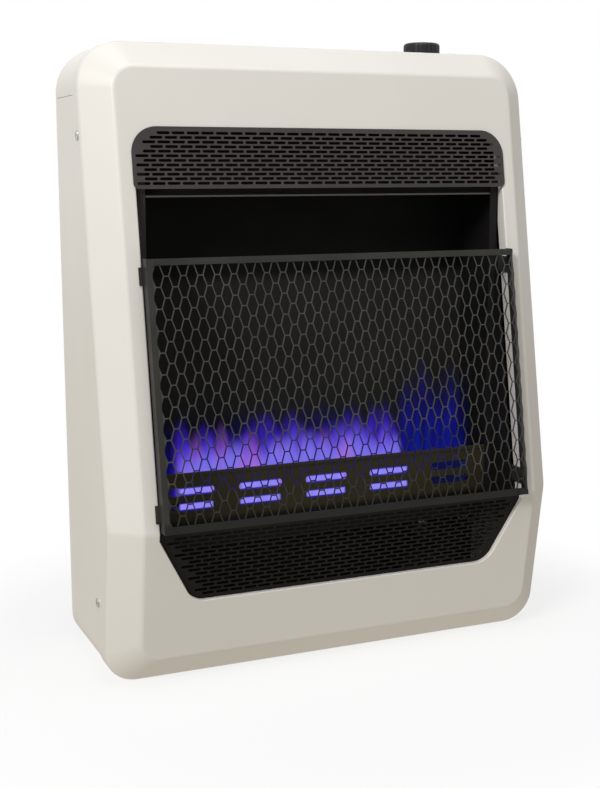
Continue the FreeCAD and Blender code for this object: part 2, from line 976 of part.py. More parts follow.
def firebox_side(side):
    # Wall that follows the leaning face below, with an upright lip at the firebox's front
    low, top = firebox_floor_height, firebox_top_height
    x_low = firebox_half - firebox_sheet if side > 0 else -firebox_half
    front = firebox_front + firebox_gap + firebox_sheet
    points = [
        (firebox_back_depth, low), (face_depth(low) - firebox_setback, low),
        (face_depth(kink_height) - firebox_setback, kink_height),
        (front, face_height(front + firebox_setback)), (front, top), (firebox_back_depth, top)]
    wall = side_prism(points, x_low, x_low + firebox_sheet)
    lip_low = firebox_half - firebox_lip if side > 0 else -firebox_half
    lip_rear = firebox_front + firebox_gap
    lip = block(lip_low, lip_low + firebox_lip, lip_rear, lip_rear + firebox_sheet, low, top)
    solid = joined([wall, lip])
    if side > 0:
        hole = mixer_radius + mixer_hole_gap
        reach = firebox_half + firebox_lip
        solid = solid.cut(rod_across(0, reach, burner_depth, burner_axis(), hole))
    return solid


def deflector_rear():
    return firebox_back_depth + firebox_sheet + firebox_gap


def deflector_height(depth):
    share = (depth - deflector_rear()) / (firebox_front - deflector_rear())
    return lerp(firebox_top_height, deflector_front_height, share)


def top_deflector():
    half = firebox_inner()
    rear = deflector_rear()
    front = firebox_front
    points = [
        (rear, firebox_top_height - firebox_sheet),
        (front, deflector_front_height - firebox_sheet),
        (front, deflector_front_height + deflector_lip),
        (front - firebox_sheet, deflector_front_height + deflector_lip),
        (front - firebox_sheet, deflector_height(front - firebox_sheet)),
        (rear, firebox_top_height),
    ]
    return side_prism(points, -half, half)


def control_shield():
    # Upright sheet on the deflector, between the upper grille and the valve, wider above the firebox
    half = control_shield_half
    foot = firebox_inner() - firebox_gap
    rear = control_shield_depth
    front = rear + firebox_sheet
    low = deflector_height(rear) + firebox_gap
    wing_low = firebox_top_height + firebox_gap
    return joined([
        block(-foot, foot, rear, front, low, control_shield_top),
        block(-half, half, rear, front, wing_low, control_shield_top),
    ])


def firebox_floor():
    half = firebox_inner()
    rear = firebox_back_depth + firebox_sheet + firebox_gap
    front = burner_panel_depth + burner_panel_sheet
    solid = block(-half, half, rear, front, firebox_floor_height, floor_top)
    holes = []
    for depth, radius in zip(pilot_depths(), riser_radii):
        holes.append(post(pilot_x, depth, firebox_floor_height - 1, floor_top + 1, radius + riser_hole_gap))
    return solid.cut(holes)


def firebox_brackets():
    brackets = []
    for side in (-1, 1):
        x_low = side * bracket_half_spacing - bracket_width / 2
        x_high = x_low + bracket_width
        outer = block(x_low, x_high, cabinet_sheet, firebox_back_depth, bracket_low, bracket_high)
        inner = block(
            x_low + bracket_sheet, x_high - bracket_sheet, cabinet_sheet + bracket_sheet,
            firebox_back_depth - bracket_sheet, bracket_low - 1, bracket_high + 1)
        brackets.append(outer.cut(inner))
    return Part.makeCompound(brackets)


def heat_shield():
    return block(
        shield_left, shield_right, shield_depth, shield_depth + shield_sheet, shield_low, shield_high)


def shield_spacers():
    spacers = []
    for x in (shield_left + spacer_inset, shield_right - spacer_inset):
        for height in (shield_low + spacer_inset, shield_high - spacer_inset):
            spacers.append(rod_forward(
                x, shield_depth + shield_sheet, firebox_back_depth, height, spacer_radius))
    return Part.makeCompound(spacers)


def group_places():
    middle = (burner_slot_count - 1) / 2
    return [(index - middle) * burner_slot_pitch for index in range(burner_slot_count)]


def burner_panel():
    half = firebox_inner()
    front = burner_panel_depth + burner_panel_sheet
    slots = []
    tall = burner_slot_width / 2
    radius = tall * slot_rounding
    for x in group_places():
        for height in (burner_slot_low, burner_slot_high):
            slots.append([
                (x - burner_slot_length / 2, height - tall, radius),
                (x + burner_slot_length / 2, height - tall, radius),
                (x + burner_slot_length / 2, height + tall, radius),
                (x - burner_slot_length / 2, height + tall, radius),
            ])
    face = rectangle(-half, half, floor_top, burner_panel_top)
    sheet = plate(on_wall(front), face, slots, burner_panel_sheet)
    hem_half = firebox_half - firebox_lip - firebox_gap
    hem = block(
        -hem_half, hem_half, burner_panel_depth, front + burner_panel_sheet,
        burner_panel_top - burner_panel_hem, burner_panel_top)
    foot = block(
        -half, half, burner_panel_depth - burner_panel_foot, front, floor_top, floor_top + burner_panel_sheet)
    return joined([sheet, hem, foot])


def burner_low():
    return floor_top + burner_foot_height


def burner_top():
    return burner_low() + burner_height


def burner_axis():
    return burner_low() + burner_height / 2


def burner_tube():
    rear, front = burner_depth - burner_width / 2, burner_depth + burner_width / 2
    outer = block(-burner_half, burner_half, rear, front, burner_low(), burner_top())
    inner = block(
        burner_wall - burner_half, burner_half - burner_wall, rear + burner_wall, front - burner_wall,
        burner_low() + burner_wall, burner_top() + 1)
    throat = rod_across(0, 2 * burner_half, burner_depth, burner_axis(), mixer_radius + mixer_hole_gap)
    return outer.cut([inner, throat])


def port_strip():
    rear, front = burner_depth - burner_width / 2, burner_depth + burner_width / 2
    strip = block(-burner_half, burner_half, rear, front, burner_top(), burner_top() + port_sheet)
    ports = []
    for middle in group_places():
        for index in range(ports_per_group):
            x = middle + (index - (ports_per_group - 1) / 2) * port_pitch
            ports.append(block(
                x - port_width / 2, x + port_width / 2, burner_depth - port_length / 2,
                burner_depth + port_length / 2, burner_top() - 1, burner_top() + port_sheet + 1))
    return strip.cut(ports)


def burner_feet():
    rear, front = burner_depth - burner_width / 2, burner_depth + burner_width / 2
    feet = []
    for side in (-1, 1):
        x_low = side * burner_foot_half_spacing - burner_foot_width / 2
        feet.append(block(x_low, x_low + burner_foot_width, rear, front, floor_top, burner_low()))
    return Part.makeCompound(feet)


def mixer_end():
    return firebox_half + mixer_out


def mixing_tube():
    start = burner_half - burner_wall - mixer_inside
    throat_end = mixer_end() - mixer_bell_length
    solids = []
    for shrink in (0, mixer_wall):
        straight = rod_across(start - shrink, throat_end, burner_depth, burner_axis(), mixer_radius - shrink)
        bell = Part.makeCone(
            mixer_radius - shrink, mixer_bell_radius - shrink, mixer_bell_length,
            at(throat_end, burner_depth, burner_axis()), Vector(1, 0, 0))
        solids.append(joined([straight, bell]))
    return solids[0].cut(solids[1])


def injector_tip():
    return mixer_end() + injector_gap


def holder_start():
    return injector_tip() + injector_length - injector_seat


def holder_middle():
    return holder_start() + holder_length / 2


def injector():
    end = injector_tip() + injector_length
    body = rod_across(injector_tip(), end, burner_depth, burner_axis(), injector_radius)
    return body.cut(rod_across(injector_tip() - 1, end + 1, burner_depth, burner_axis(), injector_bore))


def injector_holder():
    low = burner_axis() - holder_height / 2
    solid = block(
        holder_start(), holder_start() + holder_length, burner_depth - holder_width / 2,
        burner_depth + holder_width / 2, low, low + holder_height)
    seat = rod_across(
        holder_start() - 1, holder_start() + injector_seat + plate_hole_gap, burner_depth, burner_axis(),
        injector_radius + spindle_fit)
    return solid.cut(seat)


def injector_bracket():
    # Ledge from the firebox wall under the bell, with a riser to the holder
    low = burner_axis() - mixer_bell_radius - bell_clear - bracket_sheet
    rear, front = burner_depth - holder_width / 2, burner_depth + holder_width / 2
    end = holder_start() + holder_length
    ledge = block(firebox_half, end, rear, front, low, low + bracket_sheet)
    riser = block(holder_start(), end, rear, front, low, burner_axis() - holder_height / 2)
    return joined([ledge, riser])


def pilot_depths():
    return [pilot_depth + index * probe_spacing for index in range(probe_count)]


def pilot_plate_top():
    return burner_top() + port_sheet


def pilot_bracket():
    half = pilot_bracket_half
    top = pilot_plate_top()
    depths = pilot_depths()
    rear, front = depths[0] - probe_spacing / 2, depths[-1] + probe_spacing / 2
    wall = firebox_half - firebox_sheet - plate_hole_gap
    ledge = block(pilot_x - half, wall, rear, front, top - pilot_bracket_sheet, top)
    flange = block(
        wall - pilot_bracket_sheet, wall, rear, front, top - pilot_bracket_sheet,
        top + pilot_bracket_height)
    holes = []
    for depth, radius in zip(depths, (pilot_radius, probe_radius, electrode_radius)):
        holes.append(post(pilot_x, depth, top - 2 * pilot_bracket_sheet, top + 1, radius + plate_hole_gap))
    return joined([ledge, flange]).cut(holes)


def pilot_low():
    return pilot_plate_top() - pilot_sunk


def pilot_burner():
    depth = pilot_depths()[0]
    top = pilot_low() + pilot_height
    body = post(pilot_x, depth, pilot_low(), top, pilot_radius)
    port = rod_forward(pilot_x, depth, depth + 2 * pilot_radius, top - pilot_radius, pilot_port_radius)
    return body.cut(port)


def thermocouple():
    low = pilot_low()
    return post(pilot_x, pilot_depths()[1], low, low + probe_length, probe_radius)


def ignition_electrode():
    low = pilot_low()
    depth = pilot_depths()[2]
    ceramic = post(pilot_x, depth, low, low + electrode_length, electrode_radius)
    top = low + electrode_length
    tip = post(pilot_x, depth, top, top + electrode_rod_length, electrode_rod_radius)
    return joined([ceramic, tip])


def gas_valve():
    body = block(
        valve_x - valve_half_width, valve_x + valve_half_width, valve_depth - valve_half_depth,
        valve_depth + valve_half_depth, valve_bottom, valve_top)
    upright = [edge for edge in body.Edges if abs(edge.BoundBox.ZLength - valve_height) < 0.01]
    body = body.makeFillet(valve_corner, upright)
    bonnet = post(valve_x, valve_depth, valve_top, bonnet_top, bonnet_radius)
    spindle_bore = post(
        valve_x, valve_depth, spindle_bottom - press_travel - bore_spare, bonnet_top + 1,
        spindle_radius + spindle_fit)
    plunger_bore = post(
        valve_x, valve_depth, plunger_bottom - press_travel - bore_spare, bonnet_top,
        plunger_radius + spindle_fit)
    return joined([body, bonnet]).cut([spindle_bore, plunger_bore])


def valve_nut():
    nut = hex_post(valve_x, valve_depth, shelf_top, shelf_top + valve_nut_height, valve_nut_radius)
    return nut.cut(post(
        valve_x, valve_depth, shelf_top - 1, shelf_top + valve_nut_height + 1, bonnet_radius + pipe_fit))


def valve_bracket():
    x_low, x_high = valve_x - shelf_half_width, valve_x + shelf_half_width
    shelf = block(x_low, x_high, cabinet_sheet, cabinet_sheet + shelf_reach, valve_top, shelf_top)
    leaf = block(
        x_low, x_high, cabinet_sheet, cabinet_sheet + shelf_sheet, shelf_top - shelf_back_height, shelf_top)
    hole = post(valve_x, valve_depth, valve_top - 1, shelf_top + 1, bonnet_radius + bonnet_hole_gap)
    return joined([shelf, leaf]).cut(hole)


def valve_spindle():
    return post(valve_x, valve_depth, spindle_bottom, socket_top - plunger_gap, spindle_radius)


def valve_plunger():
    return post(valve_x, valve_depth, plunger_bottom, plunger_bottom + plunger_length, plunger_radius)


def return_spring():
    # Coil round the spindle, from the bonnet to the seat under the knob
    low = bonnet_top + spring_wire + spring_gap
    high = knob_bottom + knob_recess_depth - spring_wire - spring_gap
    steps = 4 * spring_turns

    def coil_point(step):
        angle = 0.5 * math.pi * step
        across = spring_radius * math.cos(angle)
        along = spring_radius * math.sin(angle)
        return at(valve_x + across, valve_depth + along, lerp(low, high, step / steps))

    edges = []
    for step in range(steps):
        arc = Part.Arc(coil_point(step), coil_point(step + 0.5), coil_point(step + 1))
        edges.append(arc.toShape())
    return swept(Part.Wire(edges), spring_wire)


def knob():
    body = post(valve_x, valve_depth, knob_bottom, knob_top, knob_radius)
    top_rim = [edge for edge in body.Edges if edge.BoundBox.ZMin > knob_bottom + knob_edge]
    body = body.makeFillet(knob_edge, top_rim)
    tools = [
        post(valve_x, valve_depth, knob_bottom - 1, socket_top, spindle_radius + spindle_fit),
        post(valve_x, valve_depth, knob_bottom - 1, knob_bottom + knob_recess_depth, knob_recess_radius),
    ]
    reach = knob_radius + knob_flute_radius - knob_flute_depth
    for index in range(knob_flutes):
        angle = 2 * math.pi * (index + 0.5) / knob_flutes
        x = valve_x + reach * math.cos(angle)
        depth = valve_depth + reach * math.sin(angle)
        tools.append(post(x, depth, knob_bottom - 1, knob_top, knob_flute_radius))
    half = knob_pointer_width / 2
    tools.append(block(
        valve_x - half, valve_x + half, valve_depth + knob_radius / 3, valve_depth + 2 * knob_radius,
        knob_top - knob_pointer_depth, knob_top + 1))
    return body.cut(tools)


def knob_bezel():
    inner = knob_radius + bezel_gap
    outer = inner + bezel_wall
    sleeve = post(valve_x, valve_depth, top_surface - bezel_drop, top_surface, outer)
    flange = post(
        valve_x, valve_depth, top_surface, top_surface + bezel_flange_height, outer + bezel_flange)
    return joined([sleeve, flange]).cut(
        post(valve_x, valve_depth, top_surface - bezel_drop - 1, casing_height + knob_height, inner))


def igniter_x():
    return valve_x - valve_half_width - igniter_radius - igniter_gap


def igniter():
    low = valve_top - igniter_drop - igniter_length
    return post(igniter_x(), valve_depth, low, low + igniter_length, igniter_radius)


def regulator_body():
    middle = (regulator_low + regulator_high) / 2
    front = regulator_depth + regulator_radius + regulator_face
    body = joined([
        post(regulator_x, regulator_depth, regulator_low, regulator_high, regulator_radius),
        post(regulator_x, regulator_depth, inlet_boss_low, regulator_low, inlet_boss_radius),
        post(regulator_x, regulator_depth, regulator_high, outlet_top, outlet_boss_radius),
        rod_forward(regulator_x, regulator_depth, front, middle, regulator_cap_radius - 2),
    ])
    return body.cut(post(
        regulator_x, regulator_depth, inlet_boss_low - 1, inlet_boss_low + inlet_bore_length,
        inlet_bore_radius))


def regulator_cap():
    middle = (regulator_low + regulator_high) / 2
    rear = regulator_depth + regulator_radius + regulator_face
    return rod_forward(regulator_x, rear, rear + regulator_cap_length, middle, regulator_cap_radius)


def regulator_bracket():
    half = regulator_bracket_half
    leaf_front = cabinet_sheet + regulator_bracket_sheet
    leaf = block(
        regulator_x - half, regulator_x + half, cabinet_sheet, leaf_front, regulator_low, regulator_high)
    saddle = block(
        regulator_x - half / 2, regulator_x + half / 2, cabinet_sheet, regulator_depth,
        regulator_low, regulator_high)
    room = post(
        regulator_x, regulator_depth, regulator_low - 1, regulator_high + 1, regulator_radius + pipe_fit)
    return joined([leaf, saddle]).cut(room)


def inlet_pipe():
    outer = post(regulator_x, regulator_depth, outlet_top, valve_bottom, inlet_pipe_radius)
    inner = post(
        regulator_x, regulator_depth, outlet_top - 1, valve_bottom + 1, inlet_pipe_radius - pipe_wall)
    return outer.cut(inner)


def main_pipe():
    x, depth = outlet_port()
    turn = valve_bottom - main_pipe_drop
    across = holder_middle()
    end = burner_depth - holder_width / 2
    points = [
        (x, depth, valve_bottom), (x, depth, turn), (across, depth, turn),
        (across, depth, burner_axis()), (across, end, burner_axis())]
    return pipe(points, main_pipe_bend, main_pipe_radius)


def outlet_port():
    return valve_x + outlet_port_x, valve_depth + outlet_port_depth


def riser(port, drop, channel_depth, under, index, radius, bend):
    # Line from a port down the right channel, under the floor and up to the pilot group
    x, depth, top = port
    turn = valve_bottom - drop
    low = firebox_floor_height - under
    target = pilot_depths()[index]
    points = [
        (x, depth, top), (x, depth, turn), (channel_x, channel_depth, turn),
        (channel_x, channel_depth, low), (pilot_x, target, low), (pilot_x, target, pilot_low())]
    return swept(route(points, bend), radius)


def pilot_pipe():
    port = (valve_x + pilot_port_x, valve_depth + pilot_port_depth, valve_bottom)
    return riser(port, pilot_pipe_drop, pilot_channel_depth, pilot_under, 0, pilot_pipe_radius, line_bend)


def thermocouple_lead():
    port = (valve_x + lead_port_x, valve_depth + lead_port_depth, valve_bottom)
    return riser(port, lead_drop, lead_channel_depth, lead_under, 1, lead_radius, line_bend)


def ignition_wire():
    port = (igniter_x(), valve_depth, valve_top - igniter_drop - igniter_length)
    return riser(port, wire_drop, wire_channel_depth, wire_under, 2, wire_radius, line_bend)


def sensing_bulb():
    return post(bulb_x, bulb_depth, bulb_low, bulb_low + bulb_length, bulb_radius)


def capillary():
    x, depth = valve_x + capillary_port_x, valve_depth + capillary_port_depth
    turn = valve_bottom - capillary_drop
    points = [
        (x, depth, valve_bottom), (x, depth, turn), (bulb_x, bulb_depth, turn),
        (bulb_x, bulb_depth, bulb_low + bulb_length)]
    return swept(route(points, line_bend), capillary_radius)


def bulb_clip():
    wall = lining_inset - casing_width / 2
    reach = bulb_radius + clip_wall
    middle = bulb_low + bulb_length / 2
    clip = block(
        wall, bulb_x + reach, bulb_depth - reach, bulb_depth + reach,
        middle - clip_height / 2, middle + clip_height / 2)
    return clip.cut(post(
        bulb_x, bulb_depth, middle - clip_height, middle + clip_height, bulb_radius + pipe_fit))


def pipe_nuts():
    # Hexagonal nuts at the valve's ports and on the regulator
    ports = [
        (regulator_x, regulator_depth, inlet_pipe_radius, valve_bottom - pipe_nut_length),
        (regulator_x, regulator_depth, inlet_pipe_radius, outlet_top),
        (*outlet_port(), main_pipe_radius, valve_bottom - pipe_nut_length),
        (valve_x + pilot_port_x, valve_depth + pilot_port_depth, pilot_pipe_radius,
         valve_bottom - pipe_nut_length),
        (valve_x + lead_port_x, valve_depth + lead_port_depth, lead_radius,
         valve_bottom - pipe_nut_length),
    ]
    nuts = []
    for x, depth, radius, low in ports:
        nut = hex_post(x, depth, low, low + pipe_nut_length, radius + pipe_nut_wall)
        nuts.append(nut.cut(post(x, depth, low - 1, low + pipe_nut_length + 1, radius + pipe_fit)))
    return Part.makeCompound(nuts)


builders = {
    "front_casing": front_casing,
    "casing_screws": casing_screws,
    "left_side_panel": lambda: side_panel(-1),
    "right_side_panel": lambda: side_panel(1),
    "top_panel": top_panel,
    "back_panel": back_panel,
    "bottom_panel": bottom_panel,
    "upper_grille": upper_grille,
    "lower_grille": lower_grille,
    "guard_frame": guard_frame,
    "guard_mesh": guard_mesh,
    "guard_hooks": guard_hooks,
    "guard_rivets": guard_rivets,
    "firebox_back": firebox_back,
    "firebox_left": lambda: firebox_side(-1),
    "firebox_right": lambda: firebox_side(1),
    "top_deflector": top_deflector,
    "control_shield": control_shield,
    "firebox_floor": firebox_floor,
    "firebox_brackets": firebox_brackets,
    "heat_shield": heat_shield,
    "shield_spacers": shield_spacers,
    "burner_panel": burner_panel,
    "burner_tube": burner_tube,
    "burner_port_strip": port_strip,
    "burner_feet": burner_feet,
    "mixing_tube": mixing_tube,
    "injector": injector,
    "injector_holder": injector_holder,
    "injector_bracket": injector_bracket,
    "pilot_bracket": pilot_bracket,
    "pilot_burner": pilot_burner,
    "thermocouple": thermocouple,
    "ignition_electrode": ignition_electrode,
    "gas_valve": gas_valve,
    "valve_nut": valve_nut,
    "valve_bracket": valve_bracket,
    "valve_spindle": valve_spindle,
    "valve_plunger": valve_plunger,
    "return_spring": return_spring,
    "control_knob": knob,
    "knob_bezel": knob_bezel,
    "piezo_igniter": igniter,
    "regulator_body": regulator_body,
    "regulator_cap": regulator_cap,
    "regulator_bracket": regulator_bracket,
    "inlet_pipe": inlet_pipe,
    "main_pipe": main_pipe,
    "pilot_pipe": pilot_pipe,
    "thermocouple_lead": thermocouple_lead,
    "ignition_wire": ignition_wire,
    "sensing_bulb": sensing_bulb,
    "capillary_tube": capillary,
    "bulb_clip": bulb_clip,
    "pipe_nuts": pipe_nuts,
}

os.makedirs("parts", exist_ok=True)
for name, build in builders.items():
    shape = build()
    print(name, len(shape.Solids), round(shape.Volume), shape.isValid())
    shape.exportStep("parts/" + name + ".step")
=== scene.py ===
import bpy
import bmesh
import math
import random
from mathutils import Matrix, Vector


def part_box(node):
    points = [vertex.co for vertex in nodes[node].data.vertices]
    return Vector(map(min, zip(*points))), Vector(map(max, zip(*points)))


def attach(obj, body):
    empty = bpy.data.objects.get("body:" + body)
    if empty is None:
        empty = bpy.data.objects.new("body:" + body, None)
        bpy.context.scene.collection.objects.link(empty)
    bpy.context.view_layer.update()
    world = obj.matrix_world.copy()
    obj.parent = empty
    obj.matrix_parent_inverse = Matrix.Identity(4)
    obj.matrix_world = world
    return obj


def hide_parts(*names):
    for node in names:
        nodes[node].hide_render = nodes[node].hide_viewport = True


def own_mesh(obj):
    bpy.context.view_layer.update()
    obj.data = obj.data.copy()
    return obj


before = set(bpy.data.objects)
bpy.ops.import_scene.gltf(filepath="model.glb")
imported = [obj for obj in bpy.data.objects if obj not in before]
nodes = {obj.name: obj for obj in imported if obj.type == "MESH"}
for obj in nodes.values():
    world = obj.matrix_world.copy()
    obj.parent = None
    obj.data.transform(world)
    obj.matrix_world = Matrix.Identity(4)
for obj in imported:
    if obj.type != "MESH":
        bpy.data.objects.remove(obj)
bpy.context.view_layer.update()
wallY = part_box("back_panel")[1].y  # the plane that meets the wall
scene = bpy.context.scene
print("frame loaded:", len(nodes), "nodes")


def addNode(tree, kind, values=None, **settings):
    node = tree.nodes.new("ShaderNode" + kind)
    for name, value in settings.items():
        setattr(node, name, value)
    for socket, value in (values or {}).items():
        node.inputs[socket].default_value = value
    return node


def feed(tree, socket, source):
    # from another socket, or a plain value
    if isinstance(source, bpy.types.NodeSocket):
        tree.links.new(source, socket)
    else:
        socket.default_value = source


def joinMath(tree, operation, first, second):
    node = addNode(tree, "Math", operation=operation)
    feed(tree, node.inputs[0], first)
    feed(tree, node.inputs[1], second)
    return node.outputs[0]


def productOf(tree, sources):
    share = sources[0]
    for source in sources[1:]:
        share = joinMath(tree, "MULTIPLY", share, source)
    return share


def mixColours(tree, share, first, second):
    node = addNode(tree, "Mix", data_type="RGBA")
    for index, source in ((0, share), (6, first), (7, second)):  # 6 and 7 are a Mix node's colours
        feed(tree, node.inputs[index], source)
    return node.outputs[2]


def mixShaders(tree, share, first, second, output):
    node = addNode(tree, "MixShader")
    for socket, source in zip(node.inputs, (share, first, second)):
        tree.links.new(source, socket)
    tree.links.new(node.outputs[0], tree.nodes[output].inputs[0])


def spanOf(tree, source, start, end, low=0, high=1, shape="SMOOTHSTEP"):
    values = {"From Min": start, "From Max": end, "To Min": low, "To Max": high}
    node = addNode(tree, "MapRange", values, interpolation_type=shape)
    tree.links.new(source, node.inputs["Value"])
    return node.outputs["Result"]


def objectPlace(tree):
    return addNode(tree, "TexCoord").outputs["Object"]


def objectStep(tree, axis, start, end):
    # rises from 0 to 1 between two places along one axis of the object
    split = addNode(tree, "SeparateXYZ")
    tree.links.new(objectPlace(tree), split.inputs[0])
    return spanOf(tree, split.outputs[axis], start, end)


def objectNoise(tree, scale, detail=3.0, stretch=(1, 1, 1)):
    sized = addNode(tree, "Mapping", {"Scale": stretch})
    noise = addNode(tree, "TexNoise", {"Scale": scale, "Detail": detail})
    tree.links.new(objectPlace(tree), sized.inputs["Vector"])
    tree.links.new(sized.outputs["Vector"], noise.inputs["Vector"])
    return noise.outputs["Fac"]


def bareMaterial(name):
    material = bpy.data.materials.new(name)
    material.use_nodes = True
    tree = material.node_tree
    tree.nodes.remove(tree.nodes["Principled BSDF"])
    return material, tree


view = {
    "place": Vector((-0.5240, -1.16686, 0.4718)),
    "right": Vector((0.91747, -0.39780, -0.00161)),
    "up": Vector((0.06820, 0.15331, 0.98582)),
    "lens": 59.48, "sensor": 36, "nearest": 0.01,
}


def setCamera():
    camera = bpy.data.objects.new("camera", bpy.data.cameras.new("camera"))
    scene.collection.objects.link(camera)
    camera.data.lens = view["lens"]
    camera.data.sensor_width = view["sensor"]
    camera.data.clip_start = view["nearest"]
    back = view["right"].cross(view["up"])
    turn = Matrix((view["right"], view["up"], back)).transposed()
    camera.matrix_world = Matrix.Translation(view["place"]) @ turn.to_4x4()
    scene.camera = camera


# a soft key from the left in front and a box overhead, over a white floor that gives light as well
studio = {
    "white": (1, 1, 1, 1), "worldLight": 0.14,
    "lamps": [
        {"name": "keyBox", "place": (-3.10, -2.20, 2.70), "aim": (0, 0, 0.3), "size": 1.35, "watts": 132},
        {"name": "topBox", "place": (0, -0.48, 2.65), "aim": (0, 0, 0.3), "size": 1.6, "watts": 29},
    ],
    "floorSize": 6, "floorLight": (0.64, 0.60, 0.53, 1), "floorMatte": (0.90, 0.90, 0.90, 1),
    "floorShade": 0.22, "shadeFull": 0.28, "shadeEnd": 0.50,
    "footprint": [("X", -0.21, -0.19), ("X", 0.21, 0.19), ("Y", 0.020, 0.032), ("Y", 0.094, 0.086)],
}


def setStudio():
    world = bpy.data.worlds.new("studio")
    scene.world = world
    world.use_nodes = True
    tree = world.node_tree
    plain = tree.nodes["Background"]
    plain.inputs["Color"].default_value = studio["white"]
    plain.inputs["Strength"].default_value = studio["worldLight"]
    white = addNode(tree, "Background", {"Color": studio["white"], "Strength": 1})
    path = addNode(tree, "LightPath")
    mirrored = joinMath(tree, "MAXIMUM", path.outputs["Is Glossy Ray"], path.outputs["Is Transmission Ray"])
    seen = joinMath(tree, "MAXIMUM", path.outputs["Is Camera Ray"], mirrored)
    mixShaders(tree, seen, plain.outputs[0], white.outputs[0], "World Output")
    for lamp in studio["lamps"]:
        light = bpy.data.lights.new(lamp["name"], "AREA")
        light.energy = lamp["watts"]
        light.shape = "SQUARE"
        light.size = lamp["size"]
        item = bpy.data.objects.new(lamp["name"], light)
        scene.collection.objects.link(item)
        item.location = lamp["place"]
        aim = Vector(lamp["aim"]) - Vector(lamp["place"])
        item.rotation_euler = aim.to_track_quat("-Z", "Y").to_euler()


def setFloor():
    mesh = bpy.data.meshes.new("floor")
    bm = bmesh.new()
    bmesh.ops.create_grid(bm, x_segments=2, y_segments=2, size=studio["floorSize"])
    bm.to_mesh(mesh)
    bm.free()
    floor = bpy.data.objects.new("floor", mesh)
    scene.collection.objects.link(floor)
    material, tree = bareMaterial("floorWhite")
    seen = addNode(tree, "LightPath").outputs["Is Camera Ray"]
    # white to look at, the floor's own light for all else, and none under the heater
    paper = addNode(tree, "Emission")
    under = productOf(tree, [objectStep(tree, *step) for step in studio["footprint"]])
    feed(tree, paper.inputs["Color"], mixColours(tree, seen, studio["floorLight"], studio["white"]))
    feed(tree, paper.inputs["Strength"], joinMath(tree, "SUBTRACT", 1, under))
    # a share of matte floor near the heater, where its shadow falls
    matte = addNode(tree, "BsdfDiffuse", {"Color": studio["floorMatte"]})
    reach = addNode(tree, "VectorMath", operation="LENGTH")
    tree.links.new(objectPlace(tree), reach.inputs[0])
    near = spanOf(tree, reach.outputs["Value"], studio["shadeFull"], studio["shadeEnd"],
                  studio["floorShade"], 0)
    share = joinMath(tree, "MULTIPLY", seen, near)
    mixShaders(tree, share, paper.outputs[0], matte.outputs[0], "Material Output")
    mesh.materials.append(material)


scene.view_settings.view_transform = "Standard"
setCamera()
setStudio()
setFloor()
print("camera, lights and floor set")

# what all finishes share: the part of a noise that is used, and how much finer the gloss is than the colour
surface = {
    "noiseSpan": (0.3, 0.7), "bumpDepth": 0.0002, "paintGlossFiner": 2.3, "metalGlossFiner": 3,
    "peelDetail": 1.0, "drawnScale": 300, "drawnDetail": 2.0, "drawnStrength": 0.15,
}


def newFinish(name, roughness, metallic=0.0):
    material = bpy.data.materials.new(name)
    material.use_nodes = True
    shader = material.node_tree.nodes["Principled BSDF"]
    shader.inputs["Metallic"].default_value = metallic
    shader.inputs["Roughness"].default_value = roughness
    return material, material.node_tree, shader


def tintBetween(tree, shader, source, dark, light):
    ramp = addNode(tree, "ValToRGB")
    for element, position, colour in zip(ramp.color_ramp.elements, surface["noiseSpan"], (dark, light)):
        element.position = position
        element.color = (*colour, 1)
    tree.links.new(source, ramp.inputs["Fac"])
    tree.links.new(ramp.outputs["Color"], shader.inputs["Base Color"])


def roughBetween(tree, shader, source, low, high):
    gloss = spanOf(tree, source, *surface["noiseSpan"], low, high, "LINEAR")
    tree.links.new(gloss, shader.inputs["Roughness"])


def addBump(tree, shader, source, strength):
    bump = addNode(tree, "Bump", {"Strength": strength, "Distance": surface["bumpDepth"]})
    tree.links.new(source, bump.inputs["Height"])
    tree.links.new(bump.outputs["Normal"], shader.inputs["Normal"])


def tintWhere(tree, shader, steps, colour):
    # lays a second colour over the first where all the steps are high
    first = shader.inputs["Base Color"].links[0].from_socket
    share = productOf(tree, [objectStep(tree, *step) for step in steps])
    tree.links.new(mixColours(tree, share, first, (*colour, 1)), shader.inputs["Base Color"])


def sprayedFinish(name, look):
    # baked paint: faint mottle in colour and gloss, orange peel in the bump
    material, tree, shader = newFinish(name, look["gloss"][0])
    shader.inputs["Specular IOR Level"].default_value = look["shine"]
    tintBetween(tree, shader, objectNoise(tree, look["mottle"]), look["dark"], look["light"])
    roughBetween(tree, shader, objectNoise(tree, look["mottle"] * surface["paintGlossFiner"]), *look["gloss"])
    for zone in look.get("zones", ()):
        tintWhere(tree, shader, zone["steps"], zone["colour"])
    addBump(tree, shader, objectNoise(tree, look["peel"], surface["peelDetail"]), look["peelStrength"])
    return material


def metalFinish(name, look):
    # bare metal: drawn lines along one axis and a cloudy tarnish
    material, tree, shader = newFinish(name, look["gloss"][0], 1.0)
    tintBetween(tree, shader, objectNoise(tree, look["cloud"]), look["dark"], look["light"])
    roughBetween(tree, shader, objectNoise(tree, look["cloud"] * surface["metalGlossFiner"]), *look["gloss"])
    drawn = objectNoise(tree, surface["drawnScale"], surface["drawnDetail"], look["drawn"])
    addBump(tree, shader, drawn, surface["drawnStrength"])
    return material


